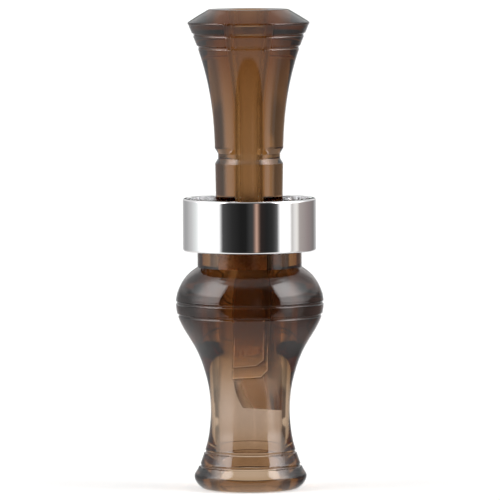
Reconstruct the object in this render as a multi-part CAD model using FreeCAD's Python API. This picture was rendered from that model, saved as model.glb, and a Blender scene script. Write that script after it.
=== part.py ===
import FreeCAD, Part

# Double-reed duck call.  A turned barrel with a pressed metal band takes a pull-out
# stopper.  The stopper's tenon is cut to a tone board that carries two film reeds, the
# wedge that clamps them and two O-ring seals.
#
# Frame, millimetres: +Z runs up the call's axis, from the mouthpiece lip to the exhaust
# end.  The reeds lie on the -Y side of the tone board.  Origin: centre of the lip's flat end.

import math
import os
from FreeCAD import Vector

os.makedirs("parts", exist_ok=True)

TOTAL_LENGTH = 123.20       # lip to exhaust end, stopper seated

# ---------------------------------------------------------------- barrel sizes
BARREL_END_Z = 72.85        # flat end face below the stopper's shoulder
BORE_R = 8.25
MOUTH_ROUND = 1.15          # where the bore meets the lip's flat
LEAD_IN = 0.08              # break on the bore's upper edge
LIP_FLAT_R = 11.45          # outer radius of the flat end
LIP_TOP_R, LIP_TOP_Z = 12.98, 6.21
NECK_R = 13.39              # neck between the bulb and the band
NECK_FROM_Z = 57.13
NECK_ROUND = 0.35           # where the neck meets the head
HEAD_R = 15.94              # head of the barrel, inside the band
HEAD_FROM_Z = 61.50
HEAD_LOWER_ROUND = 0.25
HEAD_UPPER_ROUND = 0.20

# Turned outlines, (radius, height)
LIP = [
    (LIP_FLAT_R, 0.0), (12.08, 0.09), (12.59, 0.32), (13.12, 0.76), (13.61, 1.29),
    (14.00, 1.86), (14.28, 2.44), (14.43, 3.03), (14.42, 3.54), (14.24, 4.03),
    (13.93, 4.54), (13.46, 5.33), (LIP_TOP_R, LIP_TOP_Z),
]
LIP_START_DIRECTION = (1.0, 0.0)
LIP_END_DIRECTION = (-0.5, 0.87)
WAIST_AND_BULB = [
    (LIP_TOP_R, LIP_TOP_Z), (12.16, 8.49), (11.48, 10.54), (10.93, 12.61), (10.46, 15.52),
    (10.21, 18.33), (10.17, 20.76), (10.37, 23.96), (10.88, 27.26), (11.67, 30.36),
    (12.68, 33.37), (14.03, 36.33), (15.78, 39.28), (17.49, 42.20), (18.53, 44.72),
    (18.99, 47.53), (18.64, 50.44), (17.67, 52.74), (16.28, 54.80), (NECK_R, NECK_FROM_Z),
]

# ---------------------------------------------------------------- band sizes
BAND_R = 17.12
BAND_FROM_Z, BAND_TO_Z = 61.30, 74.80
BAND_ROUND = 0.60
BAND_INNER_BREAK = 0.25
PRESS_GAP = 0.02            # glue line between the band and the barrel's head

# ---------------------------------------------------------------- stopper sizes
TENON_R = 8.15
TENON_TIP_ROUND = 0.25
SHOULDER_Z = BARREL_END_Z + 0.02    # just clear of the barrel's end
SHOULDER_ROUND = 0.08
BODY_R_LOW = 8.57           # body just above the barrel

LANYARD_GROOVE = [          # (radius, height, round), lower edge to upper edge
    (8.74, 83.75, 0.25), (7.97, 85.00, 0.40), (7.97, 86.25, 0.40), (8.82, 87.65, 0.30),
]
FLARE = [                   # (radius, height)
    (8.83, 88.60), (8.94, 91.18), (9.21, 95.06), (9.65, 98.94), (10.28, 102.82),
    (11.13, 106.70), (12.19, 110.58), (13.21, 113.68), (14.39, 116.69), (15.48, 119.31),
]
# Arcs from the flare over its rim and bevel to the top flat: (radius, height) of each
# arc's middle and end.
RIM_AND_BEVEL = [
    ((15.65, 119.72), (15.56, 119.94)),
    ((13.18, 121.46), (10.40, TOTAL_LENGTH - 0.12)),
    ((10.30, TOTAL_LENGTH - 0.04), (10.08, TOTAL_LENGTH)),
]

AIR_R = 2.45                # tone channel and air passage
CHANNEL_END_Z = 30.95       # closed end of the tone channel
EXHAUST_R = 4.45            # wide end of the exhaust taper
EXHAUST_TAPER_Z = 99.0
EXHAUST_ROUND = 0.85
EXHAUST_OVERRUN = 2.0       # cutter's reach past the end

# ---------------------------------------------------------------- seal sizes
SEAL_Z = {"lower_o_ring": 66.95, "upper_o_ring": 70.40}
SEAL_FLOOR_R = 7.04
SEAL_GROOVE_W = 1.95
SEAL_LIP_ROUND = 0.10
SEAL_FLOOR_ROUND = 0.20
SEAL_FLOOR_GAP = 0.01
SEAL_RADIAL = 1.19          # section squeezed by the bore
SEAL_AXIAL = 1.58

# ---------------------------------------------------------------- tone board sizes
BOARD_TIP_Z = 20.45
BED_Y = -0.24               # flat the reeds are clamped on
CLAMP_Z = 55.30             # lower end of the wedge: the reeds are free below this
NOTCH_Z_BED = 64.90         # end wall of the wedge notch at the bed
NOTCH_Z_OUT = 63.45         # and at the tenon's surface (undercut)
RAMP_SLOPE = math.tan(math.radians(2.20))   # fall of the board below the clamp
NOSE_Z = 32.0               # the board rounds away below this
NOSE_DROP = 2.57            # extra fall of the nose at the board's tip
NOSE_SPANS = 6
BOARD_CUT_Y = -12.0         # the board's cutter reaches outside the tenon
BOARD_CUT_END_Z = BOARD_TIP_Z - 1.0
BOARD_CUT_W = 30.0

# ---------------------------------------------------------------- reed and wedge sizes
FILM_GAP = 0.02             # clamped faces, so that no two solids share a face
REED_T = 0.25
REED_TAIL_Z = 64.50
TAIL_CUT = 0.50             # corner cuts of a reed's tail
LOWER_REED_Y = BED_Y - FILM_GAP                     # board-side faces where clamped
UPPER_REED_Y = LOWER_REED_Y - REED_T - FILM_GAP
# A dog ear is the cut of the tip corner on +X: (across, along).
LOWER_REED = dict(width=14.10, tip_z=29.60, dog_ear=(2.35, 2.00), clamped_y=LOWER_REED_Y,
                  lift_slope=0.0)
UPPER_REED = dict(width=12.40, tip_z=33.05, dog_ear=(2.70, 1.60), clamped_y=UPPER_REED_Y,
                  lift_slope=math.tan(math.radians(0.50)))
DIMPLE_Z = 36.80
DIMPLE_R = 1.60             # punch radius
DIMPLE_H = 0.14
DIMPLE_BOX_W = 4.0          # box that trims the punch ball to the dimple

WEDGE_W = 14.20
WEDGE_R = 8.02
WEDGE_INNER_Y = UPPER_REED_Y - REED_T - FILM_GAP
WEDGE_OUTER_Y = -7.75       # trimmed flat
WEDGE_END_GAP = 0.05        # along Z, to the notch's end wall

# ---------------------------------------------------------------- engraved ring sizes
RING_CUT_R = 0.55
RING_PROUD = 0.28           # cutter's centre outside the outline
RING_SEAM_DEG = 37          # turns the cutter's seam away from the turned part's
BARREL_RINGS_Z = [LIP_TOP_Z, 9.75, 44.75, 48.05]
STOPPER_RINGS_Z = [113.40, 116.62]


# ---------------------------------------------------------------- helpers
def at(radius, z):
    return Vector(radius, 0, z)


def line(start, end):
    return Part.makeLine(at(*start), at(*end))


def arc(start, middle, end):
    return Part.Arc(at(*start), at(*middle), at(*end)).toShape()


def quarter_round(start, centre, end):
    middle = [c + (s + e - 2 * c) * math.sqrt(0.5) for s, c, e in zip(start, centre, end)]
    return arc(start, middle, end)


def spline(points, **tangents):
    curve = Part.BSplineCurve()
    curve.interpolate(Points=points, **tangents)
    return curve.toShape()


def corner(before, tip, after, radius):
    """Start, middle and end of the arc that rounds the corner at tip."""
    tip = at(*tip)
    to_before = (at(*before) - tip).normalize()
    to_after = (at(*after) - tip).normalize()
    half_angle = math.acos(max(-1.0, min(1.0, to_before.dot(to_after)))) / 2.0
    setback = radius / math.tan(half_angle)
    bisector = (to_before + to_after).normalize()
    middle = tip + bisector * (radius / math.sin(half_angle) - radius)
    return [(p.x, p.z) for p in (tip + to_before * setback, middle, tip + to_after * setback)]


def rounded_polyline(points):
    """Edges through (r, z) points; an inner point given as (r, z, round) is rounded."""
    edges = []
    last = points[0]
    for point, following in zip(points[1:-1], points[2:]):
        if len(point) == 3:
            start, middle, end = corner(last, point[:2], following[:2], point[2])
            edges += [line(last, start), arc(start, middle, end)]
            last = end
        else:
            edges.append(line(last, point))
            last = point
    edges.append(line(last, points[-1]))
    return edges


def joined(edges):
    return Part.Wire(Part.__sortEdges__(edges))


def revolve(wire):
    solid = Part.Face(wire).revolve(Vector(0, 0, 0), Vector(0, 0, 1), 360)
    if solid.Volume < 0:
        solid.reverse()
    return solid


def prism(wire, width):
    """Prism of a YZ outline, centred across X."""
    face = Part.Face(wire)
    face.translate(Vector(-width / 2.0, 0, 0))
    return face.extrude(Vector(width, 0, 0))


def closed_polygon(points):
    return Part.makePolygon(points + points[:1])


def engrave(shape, outline, heights):
    """Cut a ring at each height of a turned outline edge."""
    for z in heights:
        level = Part.makeLine(Vector(0, 0, z), Vector(40, 0, z))
        radius = outline.distToShape(level)[1][0][0].x
        cutter = Part.makeTorus(radius + RING_PROUD, RING_CUT_R, Vector(0, 0, z),
                                Vector(0, 0, 1))
        cutter.rotate(Vector(0, 0, 0), Vector(0, 0, 1), RING_SEAM_DEG)
        shape = max(shape.cut(cutter).Solids, key=lambda solid: solid.Volume)
    return shape


def write(name, shape):
    if shape.ShapeType == "Compound" and len(shape.Solids) == 1:
        shape = shape.Solids[0]
    for solid in shape.Solids:
        if not solid.isValid() or solid.Volume <= 0:
            raise RuntimeError("bad solid in " + name)
    shape.exportStep("parts/%s.step" % name)


# ---------------------------------------------------------------- barrel and band
def make_barrel():
    lip = spline([at(*p) for p in LIP], InitialTangent=at(*LIP_START_DIRECTION),
                 FinalTangent=at(*LIP_END_DIRECTION))
    bulb = spline([at(*p) for p in WAIST_AND_BULB])
    head_and_bore = rounded_polyline([
        (NECK_R, NECK_FROM_Z),
        (NECK_R, HEAD_FROM_Z, NECK_ROUND),
        (HEAD_R, HEAD_FROM_Z, HEAD_LOWER_ROUND),
        (HEAD_R, BARREL_END_Z, HEAD_UPPER_ROUND),
        (BORE_R + LEAD_IN, BARREL_END_Z),
        (BORE_R, BARREL_END_Z - LEAD_IN),
        (BORE_R, MOUTH_ROUND),
    ])
    flat_inner_r = BORE_R + MOUTH_ROUND
    mouth = quarter_round((BORE_R, MOUTH_ROUND), (flat_inner_r, MOUTH_ROUND),
                          (flat_inner_r, 0.0))
    flat = line((flat_inner_r, 0.0), (LIP_FLAT_R, 0.0))
    blank = revolve(joined([lip, bulb] + head_and_bore + [mouth, flat]))
    return engrave(blank, bulb, BARREL_RINGS_Z)


def make_band():
    inner_r = HEAD_R + PRESS_GAP
    break_r = inner_r + BAND_INNER_BREAK
    return revolve(joined(rounded_polyline([
        (break_r, BAND_FROM_Z),
        (BAND_R, BAND_FROM_Z, BAND_ROUND),
        (BAND_R, BAND_TO_Z, BAND_ROUND),
        (break_r, BAND_TO_Z),
        (inner_r, BAND_TO_Z - BAND_INNER_BREAK),
        (inner_r, BAND_FROM_Z + BAND_INNER_BREAK),
        (break_r, BAND_FROM_Z),
    ])))


# ---------------------------------------------------------------- stopper
def stopper_blank():
    """Turned blank: grooved tenon, shoulder, body, lanyard groove, flare, bevelled end."""
    lower = [(0.0, BOARD_TIP_Z), (TENON_R, BOARD_TIP_Z, TENON_TIP_ROUND)]
    for seal_z in SEAL_Z.values():
        groove_from = seal_z - SEAL_GROOVE_W / 2.0
        groove_to = seal_z + SEAL_GROOVE_W / 2.0
        lower += [
            (TENON_R, groove_from, SEAL_LIP_ROUND),
            (SEAL_FLOOR_R, groove_from, SEAL_FLOOR_ROUND),
            (SEAL_FLOOR_R, groove_to, SEAL_FLOOR_ROUND),
            (TENON_R, groove_to, SEAL_LIP_ROUND),
        ]
    lower += [(TENON_R, SHOULDER_Z, SHOULDER_ROUND), (BODY_R_LOW, SHOULDER_Z, SHOULDER_ROUND)]
    lower += LANYARD_GROOVE + [FLARE[0]]

    flare = spline([at(*p) for p in FLARE])
    top = []
    last = FLARE[-1]
    for middle, end in RIM_AND_BEVEL:
        top.append(arc(last, middle, end))
        last = end
    top += [
        line(last, (0.0, TOTAL_LENGTH)),
        line((0.0, TOTAL_LENGTH), (0.0, BOARD_TIP_Z)),
    ]
    blank = revolve(joined(rounded_polyline(lower) + [flare] + top))
    return engrave(blank, flare, STOPPER_RINGS_Z)


def notch_wall_z(y):
    """Height of the wedge notch's leaning end wall."""
    return NOTCH_Z_BED + (y - BED_Y) * (NOTCH_Z_OUT - NOTCH_Z_BED) / (-TENON_R - BED_Y)


def nose_point(z):
    """Point on the nose, which curves away from the ramp's line below NOSE_Z."""
    fraction = (NOSE_Z - z) / (NOSE_Z - BOARD_TIP_Z)
    return Vector(0, BED_Y + (CLAMP_Z - z) * RAMP_SLOPE + NOSE_DROP * fraction ** 2, z)


def board_cutter():
    """Material off the -Y side: wedge notch, bed, straight ramp and rounded nose."""
    nose_length = NOSE_Z - BOARD_CUT_END_Z
    nose = [nose_point(NOSE_Z - i * nose_length / NOSE_SPANS) for i in range(NOSE_SPANS + 1)]
    end_slope = RAMP_SLOPE + 2 * NOSE_DROP * nose_length / (NOSE_Z - BOARD_TIP_Z) ** 2
    notch_outside = Vector(0, BOARD_CUT_Y, notch_wall_z(BOARD_CUT_Y))
    notch_foot = Vector(0, BED_Y, NOTCH_Z_BED)
    bed_end = Vector(0, BED_Y, CLAMP_Z)
    tip_outside = Vector(0, BOARD_CUT_Y, BOARD_CUT_END_Z)
    return prism(joined([
        Part.makeLine(notch_outside, notch_foot),
        Part.makeLine(notch_foot, bed_end),
        Part.makeLine(bed_end, nose[0]),
        spline(nose, InitialTangent=Vector(0, RAMP_SLOPE, -1),
               FinalTangent=Vector(0, end_slope, -1)),
        Part.makeLine(nose[-1], tip_outside),
        Part.makeLine(tip_outside, notch_outside),
    ]), BOARD_CUT_W)


def air_cutter():
    """Round-ended tone channel, straight bore, exhaust taper with a rounded mouth."""
    channel_z = CHANNEL_END_Z + AIR_R
    taper_end_z = TOTAL_LENGTH - EXHAUST_ROUND
    mouth_r = EXHAUST_R + EXHAUST_ROUND
    outside_z = TOTAL_LENGTH + EXHAUST_OVERRUN
    return revolve(joined([
        quarter_round((0.0, CHANNEL_END_Z), (0.0, channel_z), (AIR_R, channel_z)),
        line((AIR_R, channel_z), (AIR_R, EXHAUST_TAPER_Z)),
        line((AIR_R, EXHAUST_TAPER_Z), (EXHAUST_R, taper_end_z)),
        quarter_round((EXHAUST_R, taper_end_z), (mouth_r, taper_end_z),
                      (mouth_r, TOTAL_LENGTH)),
        line((mouth_r, TOTAL_LENGTH), (mouth_r, outside_z)),
        line((mouth_r, outside_z), (0.0, outside_z)),
        line((0.0, outside_z), (0.0, CHANNEL_END_Z)),
    ]))


def make_stopper():
    return stopper_blank().cut(board_cutter()).cut(air_cutter())


# ---------------------------------------------------------------- seals
def make_seal(z):
    """O-ring squeezed between floor and bore: its section is longer along Z than radially."""
    radius = SEAL_FLOOR_R + SEAL_FLOOR_GAP + SEAL_RADIAL / 2.0
    section = Part.Ellipse(at(radius, z + SEAL_AXIAL / 2.0), at(radius + SEAL_RADIAL / 2.0, z),
                           at(radius, z))
    return revolve(Part.Wire([section.toShape()]))


# ---------------------------------------------------------------- reeds
def make_reed(width, tip_z, dog_ear, clamped_y, lift_slope):
    """Film reed: flat above CLAMP_Z, free and lifted off the board below it."""
    inner = [
        Vector(0, clamped_y, REED_TAIL_Z),
        Vector(0, clamped_y, CLAMP_Z),
        Vector(0, clamped_y - lift_slope * (CLAMP_Z - tip_z), tip_z),
    ]
    if lift_slope == 0:
        inner.pop(1)        # an unlifted reed has no bend
    outer = [point - Vector(0, REED_T, 0) for point in reversed(inner)]
    film = prism(closed_polygon(inner + outer), width)

    side = width / 2.0
    across, along = dog_ear
    plan = Part.Face(closed_polygon([Vector(x, 0, z) for x, z in [
        (-side + TAIL_CUT, REED_TAIL_Z), (side - TAIL_CUT, REED_TAIL_Z),
        (side, REED_TAIL_Z - TAIL_CUT), (side, tip_z + along), (side - across, tip_z),
        (-side, tip_z), (-side, REED_TAIL_Z - TAIL_CUT),
    ]]))
    plan.translate(Vector(0, -4, 0))
    return film.common(plan.extrude(Vector(0, 6, 0)))


def make_upper_reed():
    """Reed with a punched dimple: a dent outside, a bump towards the lower reed."""
    inner_y = UPPER_REED_Y - UPPER_REED["lift_slope"] * (CLAMP_Z - DIMPLE_Z)
    ball_y = inner_y + DIMPLE_H - DIMPLE_R
    half_box = DIMPLE_BOX_W / 2.0
    bump = Part.makeSphere(DIMPLE_R, Vector(0, ball_y, DIMPLE_Z))
    bump = bump.common(Part.makeBox(
        DIMPLE_BOX_W, REED_T + DIMPLE_H, DIMPLE_BOX_W,
        Vector(-half_box, inner_y - REED_T / 2.0, DIMPLE_Z - half_box)))
    dent = Part.makeSphere(DIMPLE_R, Vector(0, ball_y - REED_T, DIMPLE_Z))
    return make_reed(**UPPER_REED).fuse(bump).cut(dent).removeSplitter()


# ---------------------------------------------------------------- wedge
def make_wedge():
    block = prism(closed_polygon([
        Vector(0, WEDGE_INNER_Y, CLAMP_Z),
        Vector(0, WEDGE_INNER_Y, notch_wall_z(WEDGE_INNER_Y) - WEDGE_END_GAP),
        Vector(0, WEDGE_OUTER_Y, notch_wall_z(WEDGE_OUTER_Y) - WEDGE_END_GAP),
        Vector(0, WEDGE_OUTER_Y, CLAMP_Z),
    ]), WEDGE_W)
    # The cylinder runs past both ends of the block.
    return block.common(Part.makeCylinder(WEDGE_R, 30, Vector(0, 0, 45)))


write("barrel", make_barrel())
write("band", make_band())
write("stopper", make_stopper())
for seal_name, seal_height in SEAL_Z.items():
    write(seal_name, make_seal(seal_height))
write("lower_reed", make_reed(**LOWER_REED))
write("upper_reed", make_upper_reed())
write("wedge", make_wedge())
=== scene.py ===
"""A two-reed call in smoky acrylic: a barrel with a metal band, and a stopper with two seals,
a tone board, the reeds and a cork wedge.

It stands on Z, with the barrel's lip at z = 0 and the stopper's exhaust at the top.  The flat bed
of the tone board faces -Y, and the camera looks from +X, -Y.
"""
import math

import bpy
import bmesh
import numpy as np
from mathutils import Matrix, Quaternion, Vector


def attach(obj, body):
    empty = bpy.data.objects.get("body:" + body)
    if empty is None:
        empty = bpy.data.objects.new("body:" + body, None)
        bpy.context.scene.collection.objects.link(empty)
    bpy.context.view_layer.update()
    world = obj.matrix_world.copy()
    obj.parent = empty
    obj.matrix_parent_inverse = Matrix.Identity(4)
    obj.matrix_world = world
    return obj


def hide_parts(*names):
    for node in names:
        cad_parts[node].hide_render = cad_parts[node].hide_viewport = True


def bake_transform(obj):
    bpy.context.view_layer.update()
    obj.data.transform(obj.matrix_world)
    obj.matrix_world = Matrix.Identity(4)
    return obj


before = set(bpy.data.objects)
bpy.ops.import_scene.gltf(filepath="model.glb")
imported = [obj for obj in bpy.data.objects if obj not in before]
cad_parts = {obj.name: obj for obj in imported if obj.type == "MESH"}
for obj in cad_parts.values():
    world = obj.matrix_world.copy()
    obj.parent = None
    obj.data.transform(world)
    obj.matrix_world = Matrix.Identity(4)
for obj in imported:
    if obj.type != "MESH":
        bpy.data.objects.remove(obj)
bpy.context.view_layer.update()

# ---------------------------------------------------------------- sizes, mm, in the CAD frame
MM = 0.001
MM_PER_M = 1000.0
COS_45 = math.sqrt(0.5)

# Barrel
BARREL_END_Z = 72.85
BORE_R = 8.25
MOUTH_ROUND = 1.15
LIP_FLAT_R = 11.45
NECK_R = 13.39
NECK_Z = (57.13, 61.50)
HEAD_R = 15.94
LEAD_IN = 0.08
BARREL_RINGS = [6.21, 9.75, 44.75, 48.05]

# Band
BAND_R = 17.12
BAND_Z = (61.30, 74.80)
BAND_ROUND = 0.60
BAND_INNER_BREAK = 0.25
PRESS_GAP = 0.02

# Stopper
TOTAL_LENGTH = 123.20
SHOULDER_Z = BARREL_END_Z + 0.02
TENON_R = 8.15
BODY_R_LOW = 8.57
BODY_R_GROOVE = 8.74
LANYARD_FLOOR_R = 7.97
LANYARD_Z = (83.75, 85.00, 86.25, 87.65)
STOPPER_RINGS = [113.40, 116.62]
TOP_EDGE_R = 15.66
TOP_EDGE_Z = 119.75
CHAMFER_MID = (13.18, 121.46)
TOP_FLAT_R = 10.40
AIR_R = 2.45
CHANNEL_END_Z = 30.95
EXHAUST_R = 4.45
EXHAUST_TAPER_Z = 99.0
EXHAUST_ROUND = 0.85

# Seals and their grooves
SEAL_Z = (66.95, 70.40)
SEAL_FLOOR_R = 7.04
SEAL_GROOVE_W = 1.95
SEAL_RADIAL = 1.19
SEAL_AXIAL = 1.58
SEAL_LIFT = 0.01

# Tone board
BOARD_TIP_Z = 20.45
BED_Y = -0.24
CLAMP_Z = 55.30
NOTCH_Z_BED = 64.90
NOTCH_Z_OUT = 63.45
NOTCH_SLOPE = (NOTCH_Z_OUT - NOTCH_Z_BED) / (-TENON_R - BED_Y)
RAMP_SLOPE = math.tan(math.radians(2.20))
NOSE_Z = 32.0
NOSE_DROP = 2.57
NOSE_STEPS = 26
CUTTER_REACH = 12.0
CLAMP_BREAK = 0.1

# Reeds; dog_ear is the cut at the +X tip corner, across x and along z
REED_T = 0.25
REED_TAIL_Z = 64.50
TAIL_CUT = 0.50
FILM_GAP = 0.02
LOWER_REED = dict(width=14.10, tip_z=29.60, dog_ear=(2.35, 2.00))
UPPER_REED = dict(width=12.40, tip_z=33.05, dog_ear=(2.70, 1.60))
UPPER_REED_LIFT_DEG = 0.50
DIMPLE_Z = 36.80
DIMPLE_PEAK = 0.161
DIMPLE_R = 0.55

# Wedge
WEDGE_W = 14.20
WEDGE_R = 8.02
WEDGE_OUTER_Y = -7.75
WEDGE_GAP = 0.05
WEDGE_ARC_STEPS = 14

# Engraved rings: radius of the cutting circle, and how far its centre stands proud
RING_CUT_R = 0.55
RING_PROUD = 0.28

# Spacing of points on a fine curve, and the widest left after thinning
CURVE_STEP = 0.02
THIN_STEP = 0.35

# Measured outlines: (r, z)
LIP = [(LIP_FLAT_R, 0.0), (12.08, 0.09), (12.59, 0.32), (13.12, 0.76), (13.61, 1.29),
       (14.00, 1.86), (14.28, 2.44), (14.43, 3.03), (14.42, 3.54), (14.24, 4.03), (13.93, 4.54),
       (13.46, 5.33), (12.98, 6.21)]
WAIST_AND_BULB = [
    (12.98, 6.21), (12.16, 8.49), (11.48, 10.54), (10.93, 12.61), (10.46, 15.52), (10.21, 18.33),
    (10.17, 20.76), (10.37, 23.96), (10.88, 27.26), (11.67, 30.36), (12.68, 33.37), (14.03, 36.33),
    (15.78, 39.28), (17.49, 42.20), (18.53, 44.72), (18.99, 47.53), (18.64, 50.44), (17.67, 52.74),
    (16.28, 54.80), (NECK_R, NECK_Z[0])]
FLARE = [(8.83, 88.60), (8.94, 91.18), (9.21, 95.06), (9.65, 98.94), (10.28, 102.82),
         (11.13, 106.70), (12.19, 110.58), (13.21, 113.68), (14.39, 116.69), (15.48, 119.31)]


# ---------------------------------------------------------------- section outlines
def smooth_curve(points, start_way=None, end_way=None):
    """Fine points along a cubic spline; its ends are free or head the given ways."""
    points = np.array(points, float)
    chords = np.linalg.norm(np.diff(points, axis=0), axis=1)
    along = np.concatenate([[0], np.cumsum(chords)])
    spans = np.diff(along)
    count = len(points)
    system = np.zeros((count, count))
    target = np.zeros((count, 2))
    for i in range(1, count - 1):
        before, after = spans[i - 1], spans[i]
        system[i, i - 1:i + 2] = after, 2 * (before + after), before
        target[i] = 3 * (after * (points[i] - points[i - 1]) / before
                         + before * (points[i + 1] - points[i]) / after)
    for end, inner, way in ((0, 1, start_way), (-1, -2, end_way)):
        if way is None:
            system[end, end], system[end, inner] = 2, 1
            target[end] = 3 * (points[end] - points[inner]) / (along[end] - along[inner])
        else:
            system[end, end] = 1
            target[end] = np.array(way) / np.linalg.norm(way)
    slopes = np.linalg.solve(system, target)
    steps = max(2, int(math.ceil(along[-1] / CURVE_STEP)))
    curve = []
    for place in np.linspace(0, along[-1], steps + 1):
        i = min(count - 2, max(0, int(np.searchsorted(along, place, side="right")) - 1))
        span = spans[i]
        u = (place - along[i]) / span
        curve.append(tuple((2 * u**3 - 3 * u**2 + 1) * points[i]
                           + (u**3 - 2 * u**2 + u) * span * slopes[i]
                           + (-2 * u**3 + 3 * u**2) * points[i + 1]
                           + (u**3 - u**2) * span * slopes[i + 1]))
    return curve


def arc(start, middle, end, steps):
    """steps + 1 points on the circle through the three given."""
    (ax, ay), (bx, by), (cx, cy) = start, middle, end
    a_sq, b_sq, c_sq = ax**2 + ay**2, bx**2 + by**2, cx**2 + cy**2
    scale = 2 * (ax * (by - cy) + bx * (cy - ay) + cx * (ay - by))
    mid_x = (a_sq * (by - cy) + b_sq * (cy - ay) + c_sq * (ay - by)) / scale
    mid_y = (a_sq * (cx - bx) + b_sq * (ax - cx) + c_sq * (bx - ax)) / scale
    radius = math.hypot(ax - mid_x, ay - mid_y)
    first, half_way, last = (math.atan2(y - mid_y, x - mid_x) for x, y in (start, middle, end))
    turn = 2 * math.pi
    anticlockwise = (half_way - first) % turn < (last - first) % turn
    sweep = (last - first) % turn if anticlockwise else -((first - last) % turn)
    angles = [first + sweep * i / steps for i in range(steps + 1)]
    return [(mid_x + radius * math.cos(t), mid_y + radius * math.sin(t)) for t in angles]


def rounded(points, steps=6):
    """Line through (r, z) points; one given as (r, z, round) becomes a rounded corner."""
    line = [points[0]]
    for i, point in enumerate(points[1:], 1):
        if len(point) == 2:
            line.append(point)
            continue
        before, corner, after = (np.array(p[:2], float) for p in (line[-1], point, points[i + 1]))
        back = (before - corner) / np.linalg.norm(before - corner)
        onward = (after - corner) / np.linalg.norm(after - corner)
        half_angle = math.acos(float(back @ onward)) / 2
        trim = point[2] / math.tan(half_angle)
        inward = (back + onward) / np.linalg.norm(back + onward)
        centre = corner + inward * point[2] / math.sin(half_angle)
        line += arc(tuple(corner + back * trim), tuple(centre - inward * point[2]),
                    tuple(corner + onward * trim), steps)
    return line


def tidy(points, closest=1e-4):
    """Drops points that repeat the one before."""
    kept = [points[0]]
    for point in points[1:]:
        if math.dist(point, kept[-1]) > closest:
            kept.append(point)
    return kept


def engrave(outline, ring_zs, steps=10):
    """Cuts round-bottomed rings into a fine outline."""
    for ring_z in ring_zs:
        centre = (min(outline, key=lambda p: abs(p[1] - ring_z))[0] + RING_PROUD, ring_z)
        inside = [i for i, p in enumerate(outline) if math.dist(p, centre) < RING_CUT_R]
        before, after = inside[0] - 1, inside[-1] + 1
        ends = []
        for point in (outline[before], outline[after]):
            reach = math.dist(point, centre)
            ends.append(tuple(c + (p - c) * RING_CUT_R / reach for p, c in zip(point, centre)))
        start, end = ends
        length = math.dist(start, end)
        across = (-(end[1] - start[1]) / length, (end[0] - start[0]) / length)
        if across[0] > 0:
            across = (-across[0], -across[1])
        bottom = tuple(c + a * RING_CUT_R for c, a in zip(centre, across))
        outline = outline[:before] + arc(start, bottom, end, steps) + outline[after + 1:]
    return outline


def thin(points, max_bend=math.radians(2.2)):
    """Drops points where a fine outline is nearly straight."""
    kept = [points[0]]
    for point, after in zip(points[1:], points[2:]):
        last = kept[-1]
        way_in = math.atan2(point[1] - last[1], point[0] - last[0])
        way_out = math.atan2(after[1] - point[1], after[0] - point[0])
        bend = abs((way_out - way_in + math.pi) % (2 * math.pi) - math.pi)
        if math.dist(point, last) >= THIN_STEP or bend > max_bend:
            kept.append(point)
    return kept + [points[-1]]


def support(points, closed, inset=0.05, long=0.8):
    """Adds a point near each end of a long straight, to keep smooth shading local to corners."""
    line = []
    for i in range(len(points) if closed else len(points) - 1):
        a, b = points[i], points[(i + 1) % len(points)]
        length = math.hypot(b[0] - a[0], b[1] - a[1])
        line.append(a)
        if length > long:
            dr, dz = (b[0] - a[0]) * inset / length, (b[1] - a[1]) * inset / length
            line += [(a[0] + dr, a[1] + dz), (b[0] - dr, b[1] - dz)]
    return line if closed else line + [points[-1]]


# ---------------------------------------------------------------- meshes
def new_object(name, verts, faces):
    """Links a solid with vertices in mm and its faces turned outward."""
    mesh = bpy.data.meshes.new(name)
    mesh.from_pydata([(x * MM, y * MM, z * MM) for x, y, z in verts], [], faces)
    mesh.update()
    ob = bpy.data.objects.new(name, mesh)
    bpy.context.scene.collection.objects.link(ob)
    bm = bmesh.new()
    bm.from_mesh(mesh)
    bmesh.ops.recalc_face_normals(bm, faces=bm.faces)
    if bm.calc_volume(signed=True) < 0:
        bmesh.ops.reverse_faces(bm, faces=bm.faces)
    bm.to_mesh(mesh)
    bm.free()
    return ob


def shade(ob, degrees=28):
    """Smooth shading, with edges sharper than the angle left crisp."""
    for polygon in ob.data.polygons:
        polygon.use_smooth = True
    ob.data.set_sharp_from_angle(angle=math.radians(degrees))
    ob.data.update()


def lathe(name, section, segments, closed=True):
    """Turns a section about Z: a closed loop, or an open line with both ends on the axis."""
    verts, rings = [], []
    for r, z in section:
        count = 1 if r < 1e-6 else segments
        rings.append(list(range(len(verts), len(verts) + count)))
        if count == 1:
            verts.append((0, 0, z))
            continue
        for k in range(segments):
            angle = 2 * math.pi * k / segments
            verts.append((r * math.cos(angle), r * math.sin(angle), z))
    faces = []
    for i in range(len(rings) if closed else len(rings) - 1):
        a, b = rings[i], rings[(i + 1) % len(rings)]
        for k in range(segments):
            m = (k + 1) % segments
            if len(a) == 1:
                faces.append((a[0], b[m], b[k]))
            elif len(b) == 1:
                faces.append((a[k], a[m], b[0]))
            else:
                faces.append((a[k], a[m], b[m], b[k]))
    return new_object(name, verts, faces)


def prism(name, first, second, across_first=False):
    """Solid between two matching outlines; its side faces start along or across the first."""
    n = len(first)
    faces = [tuple(range(n)), tuple(range(2 * n - 1, n - 1, -1))]
    for i in range(n):
        j = (i + 1) % n
        faces.append((i, n + i, n + j, j) if across_first else (i, j, n + j, n + i))
    return new_object(name, first + second, faces)


def apply_modifiers(ob):
    bpy.context.view_layer.update()
    depsgraph = bpy.context.evaluated_depsgraph_get()
    mesh = bpy.data.meshes.new_from_object(ob.evaluated_get(depsgraph))
    ob.modifiers.clear()
    ob.data = mesh


def dress(ob, mat, body, node):
    ob.data.materials.clear()
    ob.data.materials.append(mat)
    if body:
        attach(ob, body)
    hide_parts(node)


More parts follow.
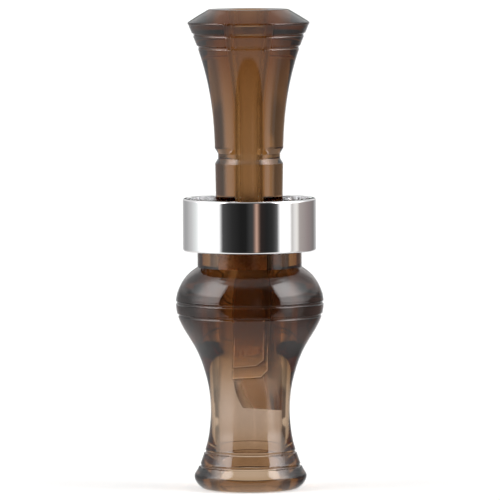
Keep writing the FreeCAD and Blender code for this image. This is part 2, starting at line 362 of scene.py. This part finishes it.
# ---------------------------------------------------------------- shader nodes
class Tree:
    """Builds a node tree.  A node passed as a value stands for its first output."""

    def __init__(self, owner):
        owner.use_nodes = True
        self.tree = owner.node_tree
        self.tree.nodes.clear()

    def feed(self, socket, value):
        if isinstance(value, bpy.types.Node):
            value = value.outputs[0]
        if isinstance(value, bpy.types.NodeSocket):
            self.tree.links.new(value, socket)
        elif socket.type == "RGBA":
            socket.default_value = (*value, 1.0)
        else:
            socket.default_value = value

    def node(self, kind, *values, **named):
        """values feed the first inputs; Capitalised names are inputs, the others properties."""
        node = self.tree.nodes.new("ShaderNode" + kind)
        for name, value in named.items():
            if name.islower():
                setattr(node, name, value)
        for socket, value in zip(node.inputs, values):
            self.feed(socket, value)
        for name, value in named.items():
            if not name.islower():
                self.feed(node.inputs[name.replace("_", " ")], value)
        return node

    def coords(self, space="Object"):
        return self.node("TexCoord").outputs[space]

    def math(self, operation, *values, **named):
        return self.node("Math", *values, operation=operation, **named)

    def times(self, product, *factors):
        for factor in factors:
            product = self.math("MULTIPLY", product, factor)
        return product

    def plus(self, total, *terms):
        for term in terms:
            total = self.math("ADD", total, term)
        return total

    def times_plus(self, value, factor, term):
        return self.math("MULTIPLY_ADD", value, factor, term)

    def fade(self, value, start, end, at_start=0.0, at_end=1.0, kind="SMOOTHSTEP"):
        """Goes from at_start to at_end as the value goes from start to end."""
        return self.node("MapRange", value, start, end, at_start, at_end, interpolation_type=kind)

    def mix(self, factor, first, second):
        node = self.node("Mix", factor, data_type="RGBA")
        self.feed(node.inputs[6], first)
        self.feed(node.inputs[7], second)
        return node.outputs[2]

    def scaled(self, colour, factor):
        return self.node("VectorMath", colour, operation="SCALE", Scale=factor)

    def stretched(self, coords, scale):
        return self.node("VectorMath", coords, scale, operation="MULTIPLY")

    def ramp(self, factor, stops):
        """stops: (position, rgb)."""
        node = self.node("ValToRGB", factor)
        elements = node.color_ramp.elements
        while len(elements) > 1:
            elements.remove(elements[-1])
        elements[0].position, elements[0].color = stops[0][0], (*stops[0][1], 1)
        for position, colour in stops[1:]:
            elements.new(position).color = (*colour, 1)
        return node


def new_material(name):
    mat = bpy.data.materials.new(name)
    return mat, Tree(mat)


# ---------------------------------------------------------------- materials
def acrylic(name, sigma, bore_r, bore_rough, seed, milled_r=0.0, milled_z=0.0):
    """Clear acrylic that absorbs sigma per mm; its bore, and what is milled, are less polished."""
    mat, tree = new_material(name)
    coords = tree.coords()
    x, y, z = tree.node("SeparateXYZ", coords).outputs
    radius = tree.math("SQRT", tree.plus(tree.times(x, x), tree.times(y, y)))
    bore_margin = 0.02
    bore = tree.math("LESS_THAN", radius, (bore_r + bore_margin) * MM)
    milled = tree.times(tree.math("LESS_THAN", radius, milled_r * MM),
                        tree.math("LESS_THAN", z, milled_z * MM))

    def noise(scale, detail, shift):
        offset = (shift, shift * 0.7, shift * 1.3)
        moved = tree.node("VectorMath", coords, scale, offset, operation="MULTIPLY_ADD")
        return tree.node("TexNoise", Vector=moved, Scale=1.0, Detail=detail, Roughness=0.55)

    # drawn-out tool streaks in the bore, slow hand-polishing waves outside,
    # and crosswise rubbing on the milled faces of the tone board
    streaks = noise(scale=(620.0, 620.0, 9.0), detail=1.0, shift=seed + 5.0)
    polish = noise(scale=(150.0, 150.0, 150.0), detail=1.0, shift=seed + 11.0)
    rubbed = noise(scale=(90.0, 90.0, 2300.0), detail=2.0, shift=seed + 23.0)
    polish_height, rubbed_height = 0.5, 3.5
    height = tree.times_plus(polish, polish_height, tree.times(bore, streaks))
    height = tree.plus(height, tree.times(milled, tree.times(rubbed, rubbed_height)))
    bump = tree.node("Bump", Strength=0.04, Distance=0.0002, Height=height)
    surface = tree.node("BsdfPrincipled", Base_Color=(0.785, 0.725, 0.705), Roughness=0.0,
                        IOR=1.49, Transmission_Weight=1.0, Specular_IOR_Level=0.5, Normal=bump)
    milled_rough = 0.20
    tree.feed(surface.inputs["Roughness"],
              tree.math("MAXIMUM", tree.times(bore, bore_rough), tree.times(milled, milled_rough)))

    # a little frost on the milled faces, more away from the tip
    frosting = tree.fade(z, start=0.0215, end=0.029, at_start=0.04, at_end=0.23)
    frost = tree.node("BsdfDiffuse", Color=(0.84, 0.80, 0.80))
    surface = tree.node("MixShader", tree.times(milled, frosting), surface, frost)

    # the density leaves headroom, so that no channel of the colour reaches zero
    headroom = 1.25
    density = headroom * max(sigma) * MM_PER_M
    colour = tuple(1 - s * MM_PER_M / density for s in sigma)
    volume = tree.node("VolumeAbsorption", Color=colour, Density=density)
    tree.node("OutputMaterial", Surface=surface, Volume=volume)
    return mat


def polished_metal(name):
    """Bright metal with fine polishing lines round it."""
    mat, tree = new_material(name)
    coords = tree.coords()
    lines = tree.node("TexNoise", Vector=tree.stretched(coords, scale=(60.0, 60.0, 9000.0)),
                      Scale=1.0, Detail=4.0, Roughness=0.65)
    soft = tree.node("TexNoise", Vector=coords, Scale=220.0, Detail=3.0)
    lines_share, soft_share = 0.6, 0.4
    wear = tree.times_plus(lines, lines_share, tree.times(soft, soft_share))
    bump = tree.node("Bump", Strength=0.03, Distance=0.0001, Height=lines)
    surface = tree.node("BsdfPrincipled", Base_Color=(0.90, 0.90, 0.905), Metallic=1.0,
                        Roughness=0.035, Normal=bump)
    tree.feed(surface.inputs["Roughness"],
              tree.fade(wear, start=0.3, end=0.7, at_start=0.02, at_end=0.07))
    tree.node("OutputMaterial", Surface=surface)
    return mat


def rubber(name):
    mat, tree = new_material(name)
    grain = tree.node("TexNoise", Vector=tree.coords(), Scale=900.0, Detail=4.0)
    dark, light = (0.012, 0.012, 0.013), (0.03, 0.029, 0.028)
    surface = tree.node(
        "BsdfPrincipled", Base_Color=tree.mix(grain, dark, light),
        Roughness=tree.fade(grain, start=0.3, end=0.7, at_start=0.38, at_end=0.55),
        Normal=tree.node("Bump", Strength=0.25, Distance=0.00005, Height=grain))
    tree.node("OutputMaterial", Surface=surface)
    return mat


def reed_film(name, width, tip_z, dog_ear, seed):
    """Frosted amber film, finely rubbed along its length, with a painted highlight along its outline
    near the tip and a painted shadow line at its edges.
    """
    mat, tree = new_material(name)
    coords = tree.coords()
    stretch = (5200.0, 5200.0, 240.0 + seed)
    rub = tree.node("TexNoise", Vector=tree.stretched(coords, stretch), Scale=1.0, Detail=2.0)

    # how far a point is inside the outline, in mm: from the sides, the tip and the dog ear
    x, _, z = tree.node("SeparateXYZ", coords).outputs
    from_middle = tree.times(tree.math("ABSOLUTE", x), MM_PER_M)
    from_tip = tree.times_plus(z, MM_PER_M, -tip_z)
    from_right = tree.times_plus(x, -MM_PER_M, width / 2)
    ear_x, ear_z = dog_ear
    length = math.hypot(ear_x, ear_z)
    from_ear = tree.plus(tree.times(from_right, ear_z / length),
                         tree.times_plus(from_tip, ear_x / length, -ear_x * ear_z / length))
    inside = tree.math("SUBTRACT", width / 2, from_middle)
    inside = tree.math("MINIMUM", tree.math("MINIMUM", inside, from_tip), from_ear)
    # painted highlight: a near-white band within about 0.5 to 0.7 mm of the outline, up to 8 to 13 mm
    # above the tip
    painted_edge_highlight = tree.times(tree.fade(inside, start=0.72, end=0.46),
                        tree.fade(from_tip, start=13.0, end=8.0))

    # clear part, deeper in colour towards the clamped end
    deep = tree.times(tree.fade(z, start=0.037, end=0.044), tree.fade(z, start=0.057, end=0.053))
    amber = tree.mix(rub, (0.74, 0.59, 0.40), (0.78, 0.64, 0.45))
    bump = tree.node("Bump", Strength=0.04, Distance=0.00002, Height=rub)
    clear = tree.node("BsdfPrincipled", Base_Color=tree.mix(deep, amber, (0.40, 0.28, 0.18)),
                      IOR=1.5, Transmission_Weight=1.0, Roughness=0.10, Normal=bump)

    # frosted part, turning near-white in the painted highlight along the outline
    pale = tree.mix(rub, (0.68, 0.59, 0.46), (0.72, 0.63, 0.50))
    pale = tree.mix(painted_edge_highlight, pale, (0.99, 0.95, 0.87))
    frost = tree.node("BsdfDiffuse", Color=pale, Normal=bump)
    glow_share, edge_highlight_frost = 0.4, 0.85
    scatter = tree.node("MixShader", glow_share, frost, tree.node("BsdfTranslucent", Color=pale))
    frosting = tree.plus(tree.fade(rub, start=0.3, end=0.7, at_start=0.32, at_end=0.36),
                         tree.fade(from_tip, start=4.5, end=0.5, at_start=-0.04, at_end=0.42))
    frosting = tree.math("MAXIMUM", frosting, tree.times(painted_edge_highlight, edge_highlight_frost))
    sheet = tree.node("MixShader", frosting, clear, scatter)

    # painted shadow line: the cut edges, which don't face along Y, and a band about 0.2 mm inside the
    # outline are painted dark brown, fading out between 38 and 44 mm up
    normal_y = tree.node("SeparateXYZ", tree.coords("Normal")).outputs[1]
    face_limit = 0.5
    painted_shadow_line = tree.math("LESS_THAN", tree.math("ABSOLUTE", normal_y), face_limit)
    painted_shadow_line = tree.times(tree.math("MAXIMUM", painted_shadow_line, tree.fade(inside, start=0.27, end=0.19)),
                      tree.fade(z, start=0.044, end=0.038))
    painted_shadow_bsdf = tree.node("BsdfDiffuse", Color=(0.10, 0.065, 0.04))
    tree.node("OutputMaterial", Surface=tree.node("MixShader", painted_shadow_line, sheet, painted_shadow_bsdf))
    return mat


def cork(name):
    mat, tree = new_material(name)
    coords = tree.coords()
    cells = tree.node("TexVoronoi", feature="F1", Vector=coords, Scale=1500.0, Randomness=1.0)
    noise = tree.node("TexNoise", Vector=coords, Scale=2600.0, Detail=5.0)
    grain = tree.ramp(tree.node("SeparateColor", cells.outputs["Color"]),
                      [(0.0, (0.46, 0.28, 0.14)), (0.3, (0.60, 0.38, 0.21)),
                       (0.7, (0.68, 0.45, 0.26)), (1.0, (0.75, 0.53, 0.32))])
    dark, dark_share = (0.30, 0.18, 0.09), 0.35
    height = tree.plus(cells.outputs["Distance"], noise)
    surface = tree.node(
        "BsdfPrincipled", Base_Color=tree.mix(tree.times(noise, dark_share), grain, dark),
        Roughness=0.85, Specular_IOR_Level=0.3,
        Normal=tree.node("Bump", Strength=0.5, Distance=0.00012, Height=height))
    tree.node("OutputMaterial", Surface=surface)
    return mat


def pale_floor(name):
    """Near-white floor with a slight glow of its own."""
    mat, tree = new_material(name)
    noise = tree.node("TexNoise", Vector=tree.coords(), Scale=40.0, Detail=3.0)
    colour = tree.mix(noise, (0.49, 0.49, 0.485), (0.51, 0.51, 0.505))
    glow = tree.node("Emission", Color=(1, 1, 1), Strength=0.42)
    surface = tree.node("AddShader", tree.node("BsdfDiffuse", Color=colour), glow)
    tree.node("OutputMaterial", Surface=surface)
    return mat


barrel_mat = acrylic("barrel_acrylic", sigma=(0.089, 0.137, 0.207), bore_r=BORE_R,
                     bore_rough=0.05, seed=3)
stopper_mat = acrylic("stopper_acrylic", sigma=(0.071, 0.117, 0.192), bore_r=EXHAUST_R,
                      bore_rough=0.38, seed=17, milled_r=TENON_R - 0.04,
                      milled_z=NOTCH_Z_BED + 0.3)
band_mat = polished_metal("polished_band")
seal_mat = rubber("seal_rubber")
lower_film_mat = reed_film("reed_film_lower", **LOWER_REED, seed=0)
upper_film_mat = reed_film("reed_film_upper", **UPPER_REED, seed=9)
cork_mat = cork("wedge_cork_grain")

# ---------------------------------------------------------------- barrel
# Section points here and below are (r, z) or (r, z, corner round).
outer = smooth_curve(LIP, (1, 0), (-0.5, 0.87))[:-1] + smooth_curve(WAIST_AND_BULB)
outer = thin(engrave(outer, BARREL_RINGS))
head = rounded([
    (NECK_R, NECK_Z[0]), (NECK_R, NECK_Z[1], 0.35), (HEAD_R, NECK_Z[1], 0.25),
    (HEAD_R, BARREL_END_Z, 0.20), (BORE_R + LEAD_IN, BARREL_END_Z),
    (BORE_R, BARREL_END_Z - LEAD_IN), (BORE_R, MOUTH_ROUND)])
inset = MOUTH_ROUND * (1 - COS_45)
mouth = arc((BORE_R, MOUTH_ROUND), (BORE_R + inset, inset), (BORE_R + MOUTH_ROUND, 0.0), 10)
section = tidy(outer + head[1:] + mouth[1:])
barrel = lathe("barrel_acrylic", support(section, True), segments=288)
shade(barrel)
dress(barrel, barrel_mat, "barrel", "barrel")

# ---------------------------------------------------------------- band
inner_r = HEAD_R + PRESS_GAP
break_r = inner_r + BAND_INNER_BREAK
section = rounded([
    (break_r, BAND_Z[0]), (BAND_R, BAND_Z[0], BAND_ROUND), (BAND_R, BAND_Z[1], BAND_ROUND),
    (break_r, BAND_Z[1]), (inner_r, BAND_Z[1] - BAND_INNER_BREAK),
    (inner_r, BAND_Z[0] + BAND_INNER_BREAK)], steps=10)
band = lathe("band_polished", support(tidy(section), True), segments=288)
shade(band)
dress(band, band_mat, "barrel", "band")

# ---------------------------------------------------------------- stopper
# Turned solid, from the board's tip up the outside and down the air channel
tenon = [(0.0, BOARD_TIP_Z), (TENON_R, BOARD_TIP_Z, 0.25)]
for seal_z in SEAL_Z:
    low_z, high_z = seal_z - SEAL_GROOVE_W / 2, seal_z + SEAL_GROOVE_W / 2
    tenon += [(TENON_R, low_z, 0.10), (SEAL_FLOOR_R, low_z, 0.20),
              (SEAL_FLOOR_R, high_z, 0.20), (TENON_R, high_z, 0.10)]
body = [(TENON_R, SHOULDER_Z, 0.08), (BODY_R_LOW, SHOULDER_Z, 0.08),
        (BODY_R_GROOVE, LANYARD_Z[0], 0.25), (LANYARD_FLOOR_R, LANYARD_Z[1], 0.40),
        (LANYARD_FLOOR_R, LANYARD_Z[2], 0.40), (FLARE[0][0] - 0.01, LANYARD_Z[3], 0.30), FLARE[0]]
flare = thin(engrave(smooth_curve(FLARE), STOPPER_RINGS))
edge_end = (TOP_EDGE_R - 0.10, TOP_EDGE_Z + 0.19)
chamfer_end = (TOP_FLAT_R, TOTAL_LENGTH - 0.12)
top = (arc(FLARE[-1], (TOP_EDGE_R - 0.01, TOP_EDGE_Z - 0.03), edge_end, 6)
       + arc(edge_end, CHAMFER_MID, chamfer_end, 18)[1:]
       + arc(chamfer_end, (TOP_FLAT_R - 0.10, TOTAL_LENGTH - 0.04),
             (TOP_FLAT_R - 0.32, TOTAL_LENGTH), 5)[1:])
exhaust = arc(
    (EXHAUST_R + EXHAUST_ROUND, TOTAL_LENGTH),
    (EXHAUST_R + EXHAUST_ROUND * (1 - COS_45),
     TOTAL_LENGTH - EXHAUST_ROUND + EXHAUST_ROUND * COS_45),
    (EXHAUST_R, TOTAL_LENGTH - EXHAUST_ROUND), 8)
channel_end = arc((AIR_R, CHANNEL_END_Z + AIR_R),
                  (AIR_R * COS_45, CHANNEL_END_Z + AIR_R * (1 - COS_45)),
                  (0.0, CHANNEL_END_Z), 12)
section = tidy(rounded(tenon + body) + flare[1:] + top[1:] + exhaust
               + [(AIR_R, EXHAUST_TAPER_Z)] + channel_end)
section[-1] = (0.0, CHANNEL_END_Z)   # exactly on the axis
stopper = lathe("stopper_acrylic", support(section, False), segments=240, closed=False)


def board_y(z):
    """Face of the tone board below the clamp: a straight ramp, then a curved nose."""
    nose = max(0.0, (NOSE_Z - z) / (NOSE_Z - BOARD_TIP_Z))
    return BED_Y + (CLAMP_Z - z) * RAMP_SLOPE + NOSE_DROP * nose * nose


# Cut away the -Y side down to the board's face: (y, z) from the notch to past the tip
end_z = BOARD_TIP_Z - 1.0
ramp_zs = [CLAMP_Z - CLAMP_BREAK]
ramp_zs += [NOSE_Z - (NOSE_Z - end_z) * i / NOSE_STEPS for i in range(NOSE_STEPS + 1)]
cut_line = [(-CUTTER_REACH, NOTCH_Z_BED + (-CUTTER_REACH - BED_Y) * NOTCH_SLOPE),
            (BED_Y, NOTCH_Z_BED), (BED_Y, CLAMP_Z + CLAMP_BREAK), (BED_Y, CLAMP_Z)]
cut_line += [(board_y(z), z) for z in ramp_zs]
cut_line += [(-CUTTER_REACH, end_z)]
cutter = prism("board_cutter", [(-CUTTER_REACH, y, z) for y, z in cut_line],
               [(CUTTER_REACH, y, z) for y, z in cut_line], across_first=True)
cut = stopper.modifiers.new("board", "BOOLEAN")
cut.operation = "DIFFERENCE"
cut.object = cutter
cut.solver = "MANIFOLD"
apply_modifiers(stopper)
stopper.data.name = "stopper_acrylic"
bpy.data.objects.remove(cutter)

# Clear the slivers left by the cut
MERGE_DISTANCE = 2e-7
bm = bmesh.new()
bm.from_mesh(stopper.data)
bmesh.ops.remove_doubles(bm, verts=bm.verts, dist=MERGE_DISTANCE)
bmesh.ops.dissolve_degenerate(bm, edges=bm.edges, dist=MERGE_DISTANCE)
bm.to_mesh(stopper.data)
bm.free()
shade(stopper)
dress(stopper, stopper_mat, "stopper", "stopper")

# ---------------------------------------------------------------- seals
seal_r = SEAL_FLOOR_R + SEAL_LIFT + SEAL_RADIAL / 2
angles = [2 * math.pi * i / 40 for i in range(40)]
for node, seal_z in zip(("lower_o_ring", "upper_o_ring"), SEAL_Z):
    loop = [(seal_r + SEAL_RADIAL / 2 * math.cos(t), seal_z + SEAL_AXIAL / 2 * math.sin(t))
            for t in angles]
    seal = lathe(node + "_rubber", loop, segments=192)
    shade(seal, 60)
    dress(seal, seal_mat, "seals", node)


# ---------------------------------------------------------------- reeds
def film(name, width, tip_z, dog_ear, y_face, lift_deg=0.0, dimple=0.0, cols=28):
    """A closed sheet fine enough to bend; y_face is its +Y face, on the board's side."""
    half, (ear_x, ear_z) = width / 2, dog_ear
    tail_z, ear_top = REED_TAIL_Z - TAIL_CUT, tip_z + ear_z
    count = int(round((tail_z - ear_top) / 0.5))
    zs = [REED_TAIL_Z, tail_z]
    zs += [tail_z + (ear_top - tail_z) * i / count for i in range(1, count + 1)]
    zs += [ear_top - ear_z * i / 6 for i in range(1, 7)]
    lift_slope = math.tan(math.radians(lift_deg))

    def span(z):
        if z > tail_z:
            narrowed = half - (z - tail_z)
            return -narrowed, narrowed
        if z < ear_top:
            return -half, half - ear_x * (ear_top - z) / ear_z
        return -half, half

    verts = []
    for side in (0, 1):
        for z in zs:
            left, right = span(z)
            for col in range(cols + 1):
                x = left + (right - left) * col / cols
                y = y_face - max(0.0, CLAMP_Z - z) * lift_slope
                y += dimple * math.exp(-(math.hypot(x, z - DIMPLE_Z) / DIMPLE_R) ** 2)
                verts.append((x, y - side * REED_T, z))
    last = len(zs) - 1

    def at(side, row, col):
        return (side * len(zs) + row) * (cols + 1) + col

    faces = []
    for r in range(last):
        for c in range(cols):
            faces.append((at(0, r, c), at(0, r, c + 1), at(0, r + 1, c + 1), at(0, r + 1, c)))
            faces.append((at(1, r, c), at(1, r + 1, c), at(1, r + 1, c + 1), at(1, r, c + 1)))
        faces.append((at(0, r, 0), at(0, r + 1, 0), at(1, r + 1, 0), at(1, r, 0)))
        faces.append((at(0, r, cols), at(1, r, cols), at(1, r + 1, cols), at(0, r + 1, cols)))
    for c in range(cols):
        faces.append((at(0, 0, c), at(1, 0, c), at(1, 0, c + 1), at(0, 0, c + 1)))
        faces.append((at(0, last, c), at(0, last, c + 1), at(1, last, c + 1), at(1, last, c)))
    ob = new_object(name, verts, faces)
    shade(ob, 40)
    return ob


lower_y = BED_Y - FILM_GAP
upper_y = lower_y - REED_T - FILM_GAP
lower = film("lower_reed_film", **LOWER_REED, y_face=lower_y)
upper = film("upper_reed_film", **UPPER_REED, y_face=upper_y, lift_deg=UPPER_REED_LIFT_DEG,
             dimple=DIMPLE_PEAK)
for reed, mat, node in ((lower, lower_film_mat, "lower_reed"), (upper, upper_film_mat, "upper_reed")):
    dress(reed, mat, None, node)
    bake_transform(reed)

# ---------------------------------------------------------------- wedge
# Outline in plan, (x, y): flat on the upper reed, round at the sides, flat outside
wedge_y = upper_y - REED_T - FILM_GAP
side_angle = math.atan2(-math.sqrt(WEDGE_R**2 - (WEDGE_W / 2) ** 2), WEDGE_W / 2)
outer_angle = math.atan2(WEDGE_OUTER_Y, math.sqrt(WEDGE_R**2 - WEDGE_OUTER_Y**2))
angles = [side_angle + (outer_angle - side_angle) * i / WEDGE_ARC_STEPS
          for i in range(WEDGE_ARC_STEPS + 1)]
right = [(WEDGE_R * math.cos(t), WEDGE_R * math.sin(t)) for t in angles]
outline = [(-WEDGE_W / 2, wedge_y), (WEDGE_W / 2, wedge_y)] + right
outline += [(-x, y) for x, y in reversed(right)]
wedge_top = NOTCH_Z_BED - WEDGE_GAP
wedge = prism("wedge_cork", [(x, y, CLAMP_Z) for x, y in outline],
              [(x, y, wedge_top + (y - BED_Y) * NOTCH_SLOPE) for x, y in outline])
bevel = wedge.modifiers.new("soft_edges", "BEVEL")
bevel.width = 0.22 * MM
bevel.segments = 3
bevel.limit_method = "ANGLE"
bevel.angle_limit = math.radians(35)
apply_modifiers(wedge)
shade(wedge, 40)
dress(wedge, cork_mat, "wedge", "wedge")

# ---------------------------------------------------------------- floor
bm = bmesh.new()
bmesh.ops.create_circle(bm, cap_ends=True, radius=5.0, segments=96)
mesh = bpy.data.meshes.new("floor")
bm.to_mesh(mesh)
bm.free()
floor = bpy.data.objects.new("floor", mesh)
floor.location = (0, 0, -0.00002)
bpy.context.scene.collection.objects.link(floor)
floor.data.materials.append(pale_floor("pale_floor"))
floor.visible_glossy = False
floor.visible_transmission = False

# ---------------------------------------------------------------- light
# White sweep under and behind, a tall softbox each side, a dark opening round the camera.
# Angles in degrees from the camera: azimuth 0 points back at it, + to its right.
# Tables: (azimuth, brightness or rgb)
TABLE_HEIGHT = [
    (-180, 0.88), (-168, 0.62), (-150, 0.38), (-137, 0.42), (-120, 0.60),
    (-106, (0.84, 0.87, 0.86)), (-96, 1.25), (-86, 1.7), (-62, 1.7), (-54, 1.15), (-50.5, 0.45),
    (-46.5, 0.09), (49.5, 0.13), (52.5, 0.72), (57, 1.5), (66, 1.9), (73, 1.4),
    (79, (0.58, 0.56, 0.54)), (85, (0.84, 0.82, 0.80)), (91, (0.90, 0.87, 0.83)),
    (97, (0.42, 0.38, 0.36)), (122, (0.30, 0.25, 0.245)), (144, (0.21, 0.195, 0.19)),
    (160, 0.5), (172, 0.8)]
SOFTBOXES = [
    (-180, 0.15), (-174, 0.15), (-168, 0.84), (-157, 0.84), (-150, 0.62), (-135, 0.68),
    (-120, 1.0), (-107, 1.7), (-97, 3.2), (-88, 5.0), (-74, 6.4), (-60, 6.6), (-51, 5.6),
    (-48, 3.0), (-45, 0.2), (45, 0.2), (48, 3.5), (51, 6.8), (62, 7.6), (76, 7.2), (88, 5.2),
    (97, 3.0), (106, 1.9), (122, 1.0), (136, 0.60), (150, 0.60), (157, 0.88), (168, 0.88),
    (174, 0.15)]
OVERHEAD = [
    (-180, 0.6), (-128, 0.6), (-116, 1.0), (-102, 2.2), (-90, 3.4), (-76, 4.4), (-62, 1.5),
    (-45, 0.95), (0, 0.50), (42, 0.75), (58, 1.1), (74, 2.1), (90, 3.0), (104, 1.7), (116, 0.8),
    (126, 0.6)]
OPENING = [
    (-50, 0.08), (-46, 0.075), (-38, 0.045), (-30, 0.028), (-15, 0.014), (-6, 0.014), (2, 0.045),
    (6, 0.055), (9, (0.23, 0.15, 0.12)), (12.4, (0.62, 0.40, 0.31)), (16, (0.20, 0.12, 0.09)),
    (19, (0.03, 0.022, 0.02)), (30, 0.018), (40, 0.03), (44.5, 0.06), (49, 0.12)]
OPENING_ENDS = [(-46, 0.05), (-30, 0.025), (0, 0.04), (30, 0.03), (46, 0.05)]

world = bpy.data.worlds.new("light_tent")
bpy.context.scene.world = world
tree = Tree(world)
fade, times = tree.fade, tree.times
direction = tree.node("VectorMath", tree.coords("Camera"), operation="NORMALIZE")
to_right, upward, away = tree.node("SeparateXYZ", direction).outputs
DEGREES = 180 / math.pi
azimuth = times(tree.math("ARCTAN2", to_right, times(away, -1.0)), DEGREES)
elevation = times(tree.math("ARCSINE", upward), DEGREES)
side = tree.math("ABSOLUTE", azimuth)
height = tree.math("ABSOLUTE", elevation)
turn = fade(azimuth, start=-180, end=180, kind="LINEAR")


def around(table, peak=1.0):
    """Light by azimuth; a peak brings brightness over 1 into the ramp's range and back."""
    stops = []
    for angle, light in table:
        rgb = light if isinstance(light, tuple) else (light,) * 3
        stops.append(((angle + 180) / 360, tuple(c / peak for c in rgb)))
    ramp = tree.ramp(turn, stops)
    return ramp if peak == 1.0 else tree.scaled(ramp, peak)


# Layers from table height up; the softboxes start higher behind and are softer low in front
LIFT_BEHIND, DIM_LOW = -6.5, -0.40
lift = times(fade(side, start=100.0, end=118.0), fade(side, start=172.0, end=162.0), LIFT_BEHIND)
soft = times(fade(elevation, start=25.0, end=20.0), fade(side, start=135.0, end=115.0))
softboxes = tree.scaled(around(SOFTBOXES, peak=8.0), tree.times_plus(soft, DIM_LOW, 1.0))
light = tree.mix(fade(tree.plus(elevation, lift), start=2.5, end=8.0),
                 around(TABLE_HEIGHT, peak=2.0), softboxes)
light = tree.mix(fade(elevation, start=48.0, end=54.0), light, around(OVERHEAD, peak=5.0))
CEILING, TABLE_TOP = (0.58, 0.58, 0.58), (0.90, 0.89, 0.88)
light = tree.mix(fade(elevation, start=58.0, end=63.0), light, CEILING)

# The table top comes in below an elevation that is lower on the right
TOP_START, RIGHT_DROP, TOP_FADE = -6.0, -13.0, 26.0
start = tree.times_plus(fade(azimuth, start=76.0, end=92.0), RIGHT_DROP, TOP_START)
down = tree.math("MULTIPLY", tree.math("SUBTRACT", start, elevation), 1 / TOP_FADE,
                 use_clamp=True)
light = tree.mix(down, light, TABLE_TOP)

# Dark opening round the camera: a superellipse, squarer and taller in its upper half
OPENING_HALF_W = 49.0
above = tree.math("GREATER_THAN", elevation, 0.0)
power = tree.times_plus(above, 1.7, 2.3)
half_height = tree.times_plus(above, 6.0, 41.0)
reach = tree.plus(
    tree.math("POWER", tree.math("DIVIDE", side, OPENING_HALF_W), power),
    tree.math("POWER", tree.math("DIVIDE", height, half_height), power))
dark = tree.mix(fade(height, start=14.0, end=24.0), around(OPENING), around(OPENING_ENDS))
light = tree.mix(fade(reach, start=1.06, end=0.90), light, dark)

# Seen through the body: an evenly white sweep behind, and capped, dimmer softboxes.
# The sweep is wider just below the horizon, and narrower above it on the left.
SOFTBOX_CAP, WHITE = (1.9, 1.85, 1.8), (1.0, 1.0, 1.0)
WIDEN, NARROW, AFTER_DIFFUSE = 21.0, -6.0, 2.3
path = tree.node("LightPath").outputs
capped = tree.node("VectorMath", light, SOFTBOX_CAP, operation="MINIMUM")
wide = times(fade(elevation, start=-5.5, end=-7.5), fade(elevation, start=-12.0, end=-10.0), WIDEN)
near = times(fade(elevation, start=2.5, end=4.5), tree.math("LESS_THAN", azimuth, 0.0), NARROW)
sweep = times(fade(tree.plus(side, wide, near), start=140.5, end=154.5),
              fade(elevation, start=62.0, end=36.0))
dimming = fade(side, start=95.0, end=125.0, at_start=1.0, at_end=0.72)
through = tree.mix(sweep, tree.scaled(capped, dimming), WHITE)
no_diffuse = tree.math("LESS_THAN", path["Diffuse Depth"], 0.5)
through = tree.mix(no_diffuse, tree.scaled(light, AFTER_DIFFUSE), through)
light = tree.mix(path["Is Transmission Ray"], light, through)

# The camera itself sees plain white
tree.node("OutputWorld", Surface=tree.node(
    "MixShader", path["Is Camera Ray"], tree.node("Background", Color=light),
    tree.node("Background", Color=WHITE)))

# ---------------------------------------------------------------- camera
AZIMUTH, ELEVATION, ROLL = math.radians(49.0), math.radians(3.9), math.radians(0.27)
DISTANCE = 1.68                      # metres, as are the next two
TARGET = Vector((0, 0, 0.0614))
VIEW_WIDTH = 0.12833                 # seen at the target
SENSOR_WIDTH = 36.0
to_camera = Vector((math.sin(AZIMUTH) * math.cos(ELEVATION),
                    -math.cos(AZIMUTH) * math.cos(ELEVATION), math.sin(ELEVATION)))
lens = bpy.data.cameras.new("camera")
camera = bpy.data.objects.new("camera", lens)
bpy.context.scene.collection.objects.link(camera)
camera.location = TARGET + to_camera * DISTANCE
camera.rotation_mode = "QUATERNION"
aim = (-to_camera).to_track_quat("-Z", "Y")
camera.rotation_quaternion = aim @ Quaternion((0, 0, 1), -ROLL)
lens.sensor_width = SENSOR_WIDTH
lens.lens = SENSOR_WIDTH * DISTANCE / VIEW_WIDTH
lens.shift_x = 0.0009
lens.clip_start = 0.05
lens.clip_end = 40.0
bpy.context.scene.camera = camera

# ---------------------------------------------------------------- render settings
scene = bpy.context.scene
scene.view_settings.view_transform = "Standard"
scene.view_settings.look = "None"
cycles = scene.cycles
cycles.max_bounces = 40
cycles.transmission_bounces = 40
cycles.glossy_bounces = 24
cycles.diffuse_bounces = 4
cycles.transparent_max_bounces = 24
cycles.volume_bounces = 0
cycles.use_denoising = True
cycles.denoising_input_passes = "RGB_ALBEDO"
cycles.denoising_prefilter = "ACCURATE"
cycles.use_adaptive_sampling = False
cycles.blur_glossy = 0.0
cycles.sample_clamp_indirect = 12.0
